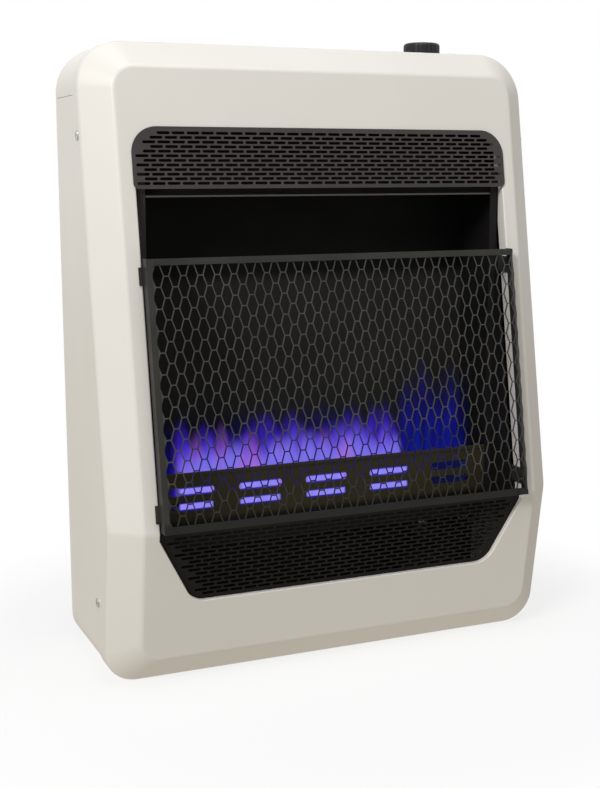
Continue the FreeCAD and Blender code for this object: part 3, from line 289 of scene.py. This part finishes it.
# zones are places along the object's axes where a paint has a second colour: painted shadow and shade,
# painted light on the firebox lips and the deflector's edge, the flames' light painted on the mesh, and
# darker lower parts of the panel and the mesh
paints = {
    "casingPaint": {"dark": (0.715, 0.693, 0.645), "light": (0.745, 0.723, 0.677), "mottle": 6,
                    "gloss": (0.36, 0.42), "shine": 0.5, "peel": 700, "peelStrength": 0.05},
    "grillePaint": {"dark": (0.040, 0.034, 0.034), "light": (0.052, 0.044, 0.044), "mottle": 18,
                    "gloss": (0.42, 0.52), "shine": 0.25, "peel": 1200, "peelStrength": 0.12},
    "lowerGrillePaint": {"dark": (0.011, 0.010, 0.009), "light": (0.016, 0.015, 0.013), "mottle": 18,
                         "gloss": (0.40, 0.50), "shine": 0.08, "peel": 1200, "peelStrength": 0.12},
    "guardPaint": {"dark": (0.023, 0.023, 0.021), "light": (0.033, 0.033, 0.030), "mottle": 30,
                   "gloss": (0.38, 0.5), "shine": 0.2, "peel": 1500, "peelStrength": 0.1,
                   # the guard frame darker below this height: painted shade on its bottom strip
                   "zones": [{"steps": [("Z", 0.166, 0.160)], "colour": (0.011, 0.011, 0.010)}]},
    # the mesh a lighter copy of the guard's paint: painted light, standing for the top light its tilted
    # strands catch
    "meshPaint": {"dark": (0.042, 0.042, 0.038), "light": (0.062, 0.062, 0.056), "mottle": 30,
                  "gloss": (0.38, 0.5), "shine": 0.25, "peel": 1500, "peelStrength": 0.1,
                  # navy where the flames stand behind the mesh: the flames' light painted on the strands; the
                  # second zone makes the mesh darker below the flame roots
                  "zones": [{"steps": [("Z", 0.240, 0.218), ("Z", 0.180, 0.190), ("X", -0.176, -0.150),
                                       ("X", 0.135, 0.100)], "colour": (0.006, 0.004, 0.060)},
                            {"steps": [("Z", 0.190, 0.176)], "colour": (0.022, 0.021, 0.017)}]},
    "fireboxPaint": {"dark": (0.018, 0.018, 0.016), "light": (0.027, 0.026, 0.023), "mottle": 9,
                     "gloss": (0.45, 0.6), "shine": 0.05, "peel": 900, "peelStrength": 0.12,
                     # the firebox back darker above this height: the deflector's painted shadow
                     "zones": [{"steps": [("Z", 0.362, 0.376)], "colour": (0.006, 0.006, 0.006)}]},
    # the walls a darker copy of the firebox paint: painted shade; the zones make the front lips lighter,
    # painted light, the left lip lit more than the right
    "wallPaint": {"dark": (0.008, 0.008, 0.008), "light": (0.013, 0.012, 0.012), "mottle": 9,
                  "gloss": (0.45, 0.6), "shine": 0.05, "peel": 900, "peelStrength": 0.12,
                  "zones": [{"steps": [("Y", -0.0225, -0.0235), ("X", -0.1876, -0.1874), ("X", 0.01, -0.01)],
                             "colour": (0.044, 0.040, 0.038)},
                            {"steps": [("Y", -0.0225, -0.0235), ("X", 0.1876, 0.1874), ("X", -0.01, 0.01)],
                             "colour": (0.017, 0.016, 0.016)}]},
    "deflectorPaint": {"dark": (0.012, 0.011, 0.012), "light": (0.018, 0.017, 0.017), "mottle": 9,
                       "gloss": (0.4, 0.5), "shine": 0.1, "peel": 900, "peelStrength": 0.12,
                       # a lighter band along the deflector's front edge: painted highlight
                       "zones": [{"steps": [("Y", -0.0228, -0.0232)], "colour": (0.15, 0.14, 0.14)}]},
    "panelPaint": {"dark": (0.032, 0.028, 0.014), "light": (0.046, 0.040, 0.021), "mottle": 14,
                   "gloss": (0.45, 0.6), "shine": 0.15, "peel": 900, "peelStrength": 0.12,
                   "zones": [{"steps": [("Z", 0.150, 0.142)], "colour": (0.004, 0.004, 0.003)}]},
    "cabinetPaint": {"dark": (0.010, 0.010, 0.010), "light": (0.018, 0.018, 0.017), "mottle": 12,
                     "gloss": (0.45, 0.6), "shine": 0.2, "peel": 900, "peelStrength": 0.12},
    "blackPlastic": {"dark": (0.006, 0.006, 0.007), "light": (0.010, 0.010, 0.012), "mottle": 60,
                     "gloss": (0.35, 0.5), "shine": 0.3, "peel": 2500, "peelStrength": 0.2},
    "wireSleeve": {"dark": (0.030, 0.027, 0.027), "light": (0.050, 0.045, 0.045), "mottle": 40,
                   "gloss": (0.5, 0.65), "shine": 0.3, "peel": 1800, "peelStrength": 0.2},
    "glazedCeramic": {"dark": (0.72, 0.70, 0.64), "light": (0.84, 0.83, 0.79), "mottle": 50,
                      "gloss": (0.2, 0.32), "shine": 0.5, "peel": 900, "peelStrength": 0.05},
}
metals = {
    "zincSheet": {"dark": (0.40, 0.41, 0.42), "light": (0.56, 0.57, 0.58), "cloud": 26,
                  "gloss": (0.34, 0.5), "drawn": (1, 1, 0.05)},
    "screwSteel": {"dark": (0.45, 0.45, 0.45), "light": (0.62, 0.62, 0.61), "cloud": 80,
                   "gloss": (0.25, 0.4), "drawn": (1, 1, 1)},
    "burnerSteel": {"dark": (0.26, 0.24, 0.21), "light": (0.46, 0.43, 0.40), "cloud": 20,
                    "gloss": (0.35, 0.55), "drawn": (0.05, 1, 1)},
    "brassTurned": {"dark": (0.22, 0.16, 0.07), "light": (0.32, 0.24, 0.12), "cloud": 60,
                    "gloss": (0.22, 0.36), "drawn": (1, 1, 0.1)},
    "castAlloy": {"dark": (0.52, 0.53, 0.54), "light": (0.68, 0.69, 0.70), "cloud": 40,
                  "gloss": (0.34, 0.5), "drawn": (1, 1, 1)},
    "copperLine": {"dark": (0.52, 0.27, 0.15), "light": (0.72, 0.42, 0.27), "cloud": 50,
                   "gloss": (0.25, 0.4), "drawn": (1, 1, 0.1)},
}
finishes = {name: sprayedFinish(name, look) for name, look in paints.items()}
finishes.update({name: metalFinish(name, look) for name, look in metals.items()})
dressing = {
    "casingPaint": ["front_casing", "left_side_panel", "right_side_panel", "top_panel"],
    "grillePaint": ["upper_grille"],
    "lowerGrillePaint": ["lower_grille"],
    "guardPaint": ["guard_frame", "guard_hooks", "guard_rivets"],
    "meshPaint": ["guard_mesh"],
    "fireboxPaint": ["firebox_back"],
    "wallPaint": ["firebox_left", "firebox_right", "firebox_floor", "control_shield"],
    "deflectorPaint": ["top_deflector"],
    "cabinetPaint": ["back_panel", "bottom_panel", "regulator_bracket", "regulator_body"],
    "panelPaint": ["burner_panel"],
    "blackPlastic": ["control_knob", "piezo_igniter", "regulator_cap", "knob_bezel"],
    "wireSleeve": ["ignition_wire"],
    "glazedCeramic": ["ignition_electrode"],
    "zincSheet": ["firebox_brackets", "heat_shield", "shield_spacers", "valve_bracket", "injector_bracket",
                  "bulb_clip"],
    "screwSteel": ["casing_screws", "valve_nut", "valve_spindle", "valve_plunger", "return_spring"],
    "burnerSteel": ["burner_tube", "burner_port_strip", "burner_feet", "mixing_tube", "pilot_bracket",
                    "thermocouple"],
    "brassTurned": ["injector", "injector_holder", "pilot_burner", "pipe_nuts"],
    "castAlloy": ["gas_valve", "inlet_pipe", "main_pipe", "pilot_pipe"],
    "copperLine": ["thermocouple_lead", "sensing_bulb", "capillary_tube"],
}
for finish, members in dressing.items():
    for member in members:
        mesh = nodes[member].data
        mesh.materials.clear()
        mesh.materials.append(finishes[finish])
print("finishes made:", len(finishes))
sharpAngle = math.radians(32)  # edges of new pieces stay sharp above this


def makePiece(name, bm, finish, replaced=()):
    mesh = bpy.data.meshes.new(name)
    bm.to_mesh(mesh)
    bm.free()
    mesh.shade_smooth()
    mesh.set_sharp_from_angle(angle=sharpAngle)
    mesh.materials.append(finish)
    piece = bpy.data.objects.new(name, mesh)
    scene.collection.objects.link(piece)
    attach(piece, "heater")
    if replaced:
        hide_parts(*replaced)
    return piece


# the pressed front shell, with soft bends where the sheet turns; depths are from the wall
shell = {
    "halfWidth": 0.2325, "height": 0.590, "topCorner": 0.044, "bottomCorner": 0.031, "sheet": 0.00128,
    "edgeDepths": (0.130, 0.153, 0.079), "kinkHeight": 0.152, "skirtDepths": (0.112, 0.068),
    "chamferDepth": 0.024, "chamferSide": 0.027, "chamferTop": 0.0236, "chamferBottom": 0.0266,
    "faceCorner": 0.020, "openingHalf": 0.1905, "openingTop": 0.5105, "openingTopCorner": 0.022,
    "openingSideBottom": 0.145, "openingBottom": 0.082, "openingBottomHalf": 0.157,
    "openingBottomCorner": 0.020, "cornerSegments": 12,
    "rimRadius": 0.0014, "rimDepth": 0.013, "rimSteps": 5,
    "bendRadius": 0.0024, "bendSegments": 4, "bendLeast": 0.012, "levelWithin": 1e-5, "cutWithin": 1e-6,
}


def edgeDepth(height):
    bottom, kink, top = shell["edgeDepths"]
    turn = shell["kinkHeight"]
    if height < turn:
        return bottom + (kink - bottom) * height / turn
    return kink + (top - kink) * (height - turn) / (shell["height"] - turn)


def faceDepth(height):
    return edgeDepth(height) + shell["chamferDepth"]


def skirtDepth(height):
    low, high = shell["skirtDepths"]
    return low + (high - low) * height / shell["height"]


def linkedVerts(start):
    linked = set()
    waiting = [start]
    while waiting:
        vert = waiting.pop()
        if vert in linked:
            continue
        linked.add(vert)
        waiting.extend(edge.other_vert(vert) for edge in vert.link_edges)
    return linked


def shellRing(bm, corners, depthAt):
    # closed ring of edges through (x, z, radius) corners, cut where the rings turn, then set to its depth
    verts = [bm.verts.new((x, 0, z)) for x, z, radius in corners]
    bm.faces.new(verts)
    marks = []
    for index, (x, z, radius) in enumerate(corners):
        here = verts[index].co
        before = verts[index - 1].co - here
        after = verts[(index + 1) % len(verts)].co - here
        marks.append((verts[index], radius / math.tan(0.5 * before.angle(after))))
    for vert, reach in marks:
        if reach:
            bmesh.ops.bevel(bm, geom=[vert], offset=reach, offset_type="OFFSET", affect="VERTICES",
                            segments=shell["cornerSegments"], profile=0.5, material=-1)
    face = bm.faces[:][-1]
    start = face.edges[0].verts[0]
    bmesh.ops.delete(bm, geom=[face], context="FACES_ONLY")
    for height in (shell["kinkHeight"], shell["openingSideBottom"]):
        linked = linkedVerts(start)
        edges = {edge for vert in linked for edge in vert.link_edges}
        bmesh.ops.bisect_plane(bm, geom=list(edges | linked), plane_co=(0, 0, height),
                               plane_no=(0, 0, 1), dist=shell["cutWithin"])
    linked = linkedVerts(start)
    for vert in linked:
        vert.co.y = wallY - depthAt(vert.co.z)
    return {edge for vert in linked for edge in vert.link_edges}


def boxCorners(side, low, high, lowRadius, highRadius):
    half = shell["halfWidth"] - side
    return [
        (-half, low, lowRadius), (half, low, lowRadius),
        (half, high, highRadius), (-half, high, highRadius),
    ]


def openingCorners(growth):
    half, bottomHalf = shell["openingHalf"], shell["openingBottomHalf"]
    top, bottom, turn = shell["openingTop"], shell["openingBottom"], shell["openingSideBottom"]
    spread = growth * (1 - (half - bottomHalf) / (turn - bottom))
    wide = half + growth
    return [
        (-bottomHalf - spread, bottom - growth, shell["openingBottomCorner"] + growth),
        (bottomHalf + spread, bottom - growth, shell["openingBottomCorner"] + growth),
        (wide, turn, 0),
        (wide, top + growth, shell["openingTopCorner"] + growth),
        (-wide, top + growth, shell["openingTopCorner"] + growth),
        (-wide, turn, 0),
    ]


def buildShell():
    bm = bmesh.new()
    high = shell["height"]
    rings = []
    outer = boxCorners(0, 0, high, shell["bottomCorner"], shell["topCorner"])
    rings.append(shellRing(bm, outer, skirtDepth))
    rings.append(shellRing(bm, outer, edgeDepth))
    face = boxCorners(shell["chamferSide"], shell["chamferBottom"], high - shell["chamferTop"],
                      shell["faceCorner"], shell["faceCorner"])
    rings.append(shellRing(bm, face, faceDepth))
    radius = shell["rimRadius"]
    for step in range(shell["rimSteps"] + 1):
        turn = 0.5 * math.pi * step / shell["rimSteps"]
        growth = radius * (1 - math.sin(turn))
        back = radius * (1 - math.cos(turn))
        rings.append(shellRing(bm, openingCorners(growth), lambda z, b=back: faceDepth(z) - b))
    deep = shell["rimDepth"]
    rings.append(shellRing(bm, openingCorners(0), lambda z: faceDepth(z) - deep))
    for first, second in zip(rings, rings[1:]):
        bmesh.ops.bridge_loops(bm, edges=list(first | second))
    turn = shell["kinkHeight"]
    level = [edge for edge in bm.edges
             if all(abs(vert.co.z - turn) < shell["levelWithin"] for vert in edge.verts)]
    bends = [edge for edge in level if edge.calc_length() > shell["bendLeast"]]
    bends += list(rings[1] | rings[2])
    bmesh.ops.bevel(bm, geom=bends, offset=shell["bendRadius"], offset_type="OFFSET",
                    affect="EDGES", segments=shell["bendSegments"], profile=0.5, material=-1,
                    clamp_overlap=True)
    bmesh.ops.recalc_face_normals(bm, faces=bm.faces[:])
    piece = makePiece("casingShell", bm, finishes["casingPaint"], ["front_casing"])
    wall = piece.modifiers.new("sheet", "SOLIDIFY")
    wall.thickness = shell["sheet"]
    wall.offset = -1
    flats = piece.modifiers.new("flats", "WEIGHTED_NORMAL")
    flats.keep_sharp = True


buildShell()
print("front shell built")

# the return spring under the knob, which closes up as the knob is pressed; the coil is built here at rest
springLook = {"wire": 0.0006, "turns": 4, "stepsPerTurn": 32, "sides": 12, "pressedShare": 0.46}


def buildSpring():
    low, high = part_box("return_spring")
    middle = (low + high) / 2
    wire, steps = springLook["wire"], springLook["turns"] * springLook["stepsPerTurn"]
    start = Vector((high.x - wire, middle.y, low.z + wire))
    rise = (high.z - low.z - 2 * wire) / steps
    bm = bmesh.new()
    upright = Matrix.Translation(start) @ Matrix.Rotation(0.5 * math.pi, 4, "X")
    made = bmesh.ops.create_circle(bm, cap_ends=True, segments=springLook["sides"], radius=wire,
                                   matrix=upright)
    faces = list({face for vert in made["verts"] for face in vert.link_faces})
    bmesh.ops.spin(bm, geom=faces, cent=(middle.x, middle.y, 0), axis=(0, 0, 1), dvec=(0, 0, rise),
                   angle=2 * math.pi * springLook["turns"], steps=steps)
    bmesh.ops.recalc_face_normals(bm, faces=bm.faces[:])
    piece = makePiece("springCoil", bm, finishes["screwSteel"], ["return_spring"])
    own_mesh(piece)


buildSpring()
print("return spring built")

# flames: upright curtains of tongues over the burner, each soft at its ends
curtainLook = {
    "root": 0.160, "endFade": 0.012, "widthsVary": (0.8, 1.3), "spacingsVary": (0.7, 1.3), "valleys": 0.5,
    "swayReach": 0.003, "swayRate": 90, "columnWidth": 0.0015, "rows": 6,
}
curtains = [
    {"name": "blueVeil", "glow": "flameBlue", "seed": 3, "depth": 0.082, "from": -0.168, "to": 0.104,
     "tops": (0.230, 0.252), "spacing": 0.009, "width": 0.013},
    {"name": "indigoBack", "glow": "flameIndigo", "seed": 5, "depth": 0.088, "from": -0.154, "to": 0.101,
     "tops": (0.222, 0.244), "spacing": 0.010, "width": 0.012},
    {"name": "pinkBack", "glow": "flamePink", "seed": 8, "depth": 0.092, "from": -0.150, "to": 0.098,
     "tops": (0.214, 0.240), "spacing": 0.030, "width": 0.012},
    {"name": "violetMiddle", "glow": "flameViolet", "seed": 11, "depth": 0.097, "from": -0.153, "to": 0.097,
     "tops": (0.212, 0.232), "spacing": 0.011, "width": 0.013},
    {"name": "paleFoot", "glow": "flamePale", "seed": 17, "depth": 0.103, "from": -0.153, "to": 0.096,
     "tops": (0.204, 0.222), "spacing": 0.012, "width": 0.014},
    {"name": "pinkFront", "glow": "flamePink", "seed": 41, "depth": 0.107, "from": -0.148, "to": 0.092,
     "tops": (0.206, 0.234), "spacing": 0.090, "width": 0.014},
    {"name": "blueEnd", "glow": "flameDeep", "seed": 23, "depth": 0.088, "from": 0.096, "to": 0.186,
     "tops": (0.236, 0.268), "spacing": 0.007, "width": 0.009, "rightFade": 0.030},
    {"name": "blueTail", "glow": "flameBlue", "seed": 29, "depth": 0.080, "from": 0.094, "to": 0.186,
     "tops": (0.258, 0.294), "spacing": 0.009, "width": 0.012, "rightFade": 0.020},
]
# a glow covers what is behind it by its cover, less towards the tips past full, and less between streaks
glowLook = {"strength": 1.0, "streakScale": 130, "streakDetail": 1.0, "streakStretch": (1, 1, 0.12),
            "streakSpan": (0.35, 0.6)}
glows = {
    "flamePale": {"colour": (0.20, 0.17, 0.80), "cover": 0.92, "full": 0.55, "streak": 0.2},
    "flameViolet": {"colour": (0.14, 0.09, 0.74), "cover": 0.85, "full": 0.55, "streak": 0.35},
    "flamePink": {"colour": (0.44, 0.14, 0.58), "cover": 0.60, "full": 0.40, "streak": 0.4},
    "flameIndigo": {"colour": (0.05, 0.018, 0.50), "cover": 0.80, "full": 0.60, "streak": 0.5},
    "flameBlue": {"colour": (0.006, 0.005, 0.16), "cover": 0.80, "full": 0.35, "streak": 0.5},
    "flameDeep": {"colour": (0.004, 0.014, 0.27), "cover": 0.85, "full": 0.10, "streak": 0.88},
    "slotLavender": {"colour": (0.29, 0.25, 0.93), "cover": 1.0, "full": 0.6, "streak": 0.1},
    "slotBlue": {"colour": (0.012, 0.008, 0.30), "cover": 0.95, "full": 0.7, "streak": 0.1},
    "slotDeep": {"colour": (0.004, 0.006, 0.038), "cover": 0.97, "full": 0.7, "streak": 0.1},
}


def glowFinish(name, look):
    material, tree = bareMaterial(name)
    light = addNode(tree, "Emission", {"Color": (*look["colour"], 1), "Strength": glowLook["strength"]})
    clear = addNode(tree, "BsdfTransparent")
    chart = addNode(tree, "UVMap", uv_map="sheet")
    split = addNode(tree, "SeparateXYZ")
    tree.links.new(chart.outputs["UV"], split.inputs[0])
    ends = spanOf(tree, split.outputs["X"], 0, 1)
    fade = spanOf(tree, split.outputs["Y"], 1, look["full"], 0, look["cover"])
    noise = objectNoise(tree, glowLook["streakScale"], glowLook["streakDetail"], glowLook["streakStretch"])
    streaks = spanOf(tree, noise, *glowLook["streakSpan"], 1 - look["streak"], 1, "LINEAR")
    share = productOf(tree, [ends, fade, streaks])
    mixShaders(tree, share, clear.outputs[0], light.outputs[0], "Material Output")
    return material


for name, look in glows.items():
    finishes[name] = glowFinish(name, look)


def newSheet():
    bm = bmesh.new()
    return bm, bm.loops.layers.uv.new("sheet")


def addSheet(bm, chart, columns, rows, place):
    # place gives a corner's spot and its UV from its shares across and up the grid
    made = bmesh.ops.create_grid(bm, x_segments=columns, y_segments=rows, size=0.5)
    shares = {vert: (vert.co.x + 0.5, vert.co.y + 0.5) for vert in made["verts"]}
    for face in {face for vert in shares for face in vert.link_faces}:
        for loop in face.loops:
            loop[chart].uv = place(*shares[loop.vert])[1]
    for vert, (u, v) in shares.items():
        vert.co = place(u, v)[0]


def buildCurtain(look):
    luck = random.Random(look["seed"])
    wide = look["to"] - look["from"]
    lowest, highest = look["tops"]
    tongues = []
    x = look["from"]
    while x < look["to"]:
        top = luck.uniform(lowest, highest)
        tongues.append((x, top, look["width"] * luck.uniform(*curtainLook["widthsVary"])))
        x += look["spacing"] * luck.uniform(*curtainLook["spacingsVary"])
    low = lowest - curtainLook["valleys"] * (highest - lowest)
    root, leftFade = curtainLook["root"], curtainLook["endFade"]
    rightFade = look.get("rightFade", leftFade)

    def place(u, v):
        x = look["from"] + u * wide
        tip = max(low + (top - low) * max(0, 1 - ((x - middle) / width) ** 2)
                  for middle, top, width in tongues)
        sway = curtainLook["swayReach"] * math.sin(curtainLook["swayRate"] * x + look["seed"])
        spot = Vector((x, wallY - look["depth"] + sway, root + v * (tip - root)))
        return spot, (wide * min(u / leftFade, (1 - u) / rightFade), v)

    bm, chart = newSheet()
    addSheet(bm, chart, int(wide / curtainLook["columnWidth"]), curtainLook["rows"], place)
    makePiece(look["name"], bm, finishes[look["glow"]])


for look in curtains:
    buildCurtain(look)

# light of the flame roots, seen through the slots of the burner panel; the last pair is nearly dark
slotLights = {
    "depth": 0.1166, "heights": (0.159, 0.1738), "length": 0.045, "pitch": 0.070, "groups": 5,
    "darkEnd": 0.009, "endSteepness": 12, "columns": 12, "rows": 4,
    "bright": [("slotBlue", 0.0130, 0.0008), ("slotLavender", 0.0068, 0)],
    "dim": [("slotDeep", 0.012, 0)],
}


def addStrip(bm, chart, low, high, height, tall, behind):
    def place(u, v):
        y = wallY - slotLights["depth"] + behind
        spot = Vector((low + u * (high - low), y, height + (v - 0.5) * tall))
        return spot, (min(u, 1 - u) * slotLights["endSteepness"], abs(2 * v - 1))

    addSheet(bm, chart, slotLights["columns"], slotLights["rows"], place)


def buildSlotLights():
    last = slotLights["groups"] - 1
    half = slotLights["length"] / 2
    strips = {}
    for group in range(slotLights["groups"]):
        x = (group - last / 2) * slotLights["pitch"]
        low = x - half + (slotLights["darkEnd"] if group == 0 else 0)
        for height in slotLights["heights"]:
            for name, tall, behind in slotLights["dim" if group == last else "bright"]:
                strips.setdefault(name, []).append((low, x + half, height, tall, behind))
    for name, rows in strips.items():
        bm, chart = newSheet()
        for row in rows:
            addStrip(bm, chart, *row)
        makePiece(name + "Sheets", bm, finishes[name])


buildSlotLights()
print("flames built")
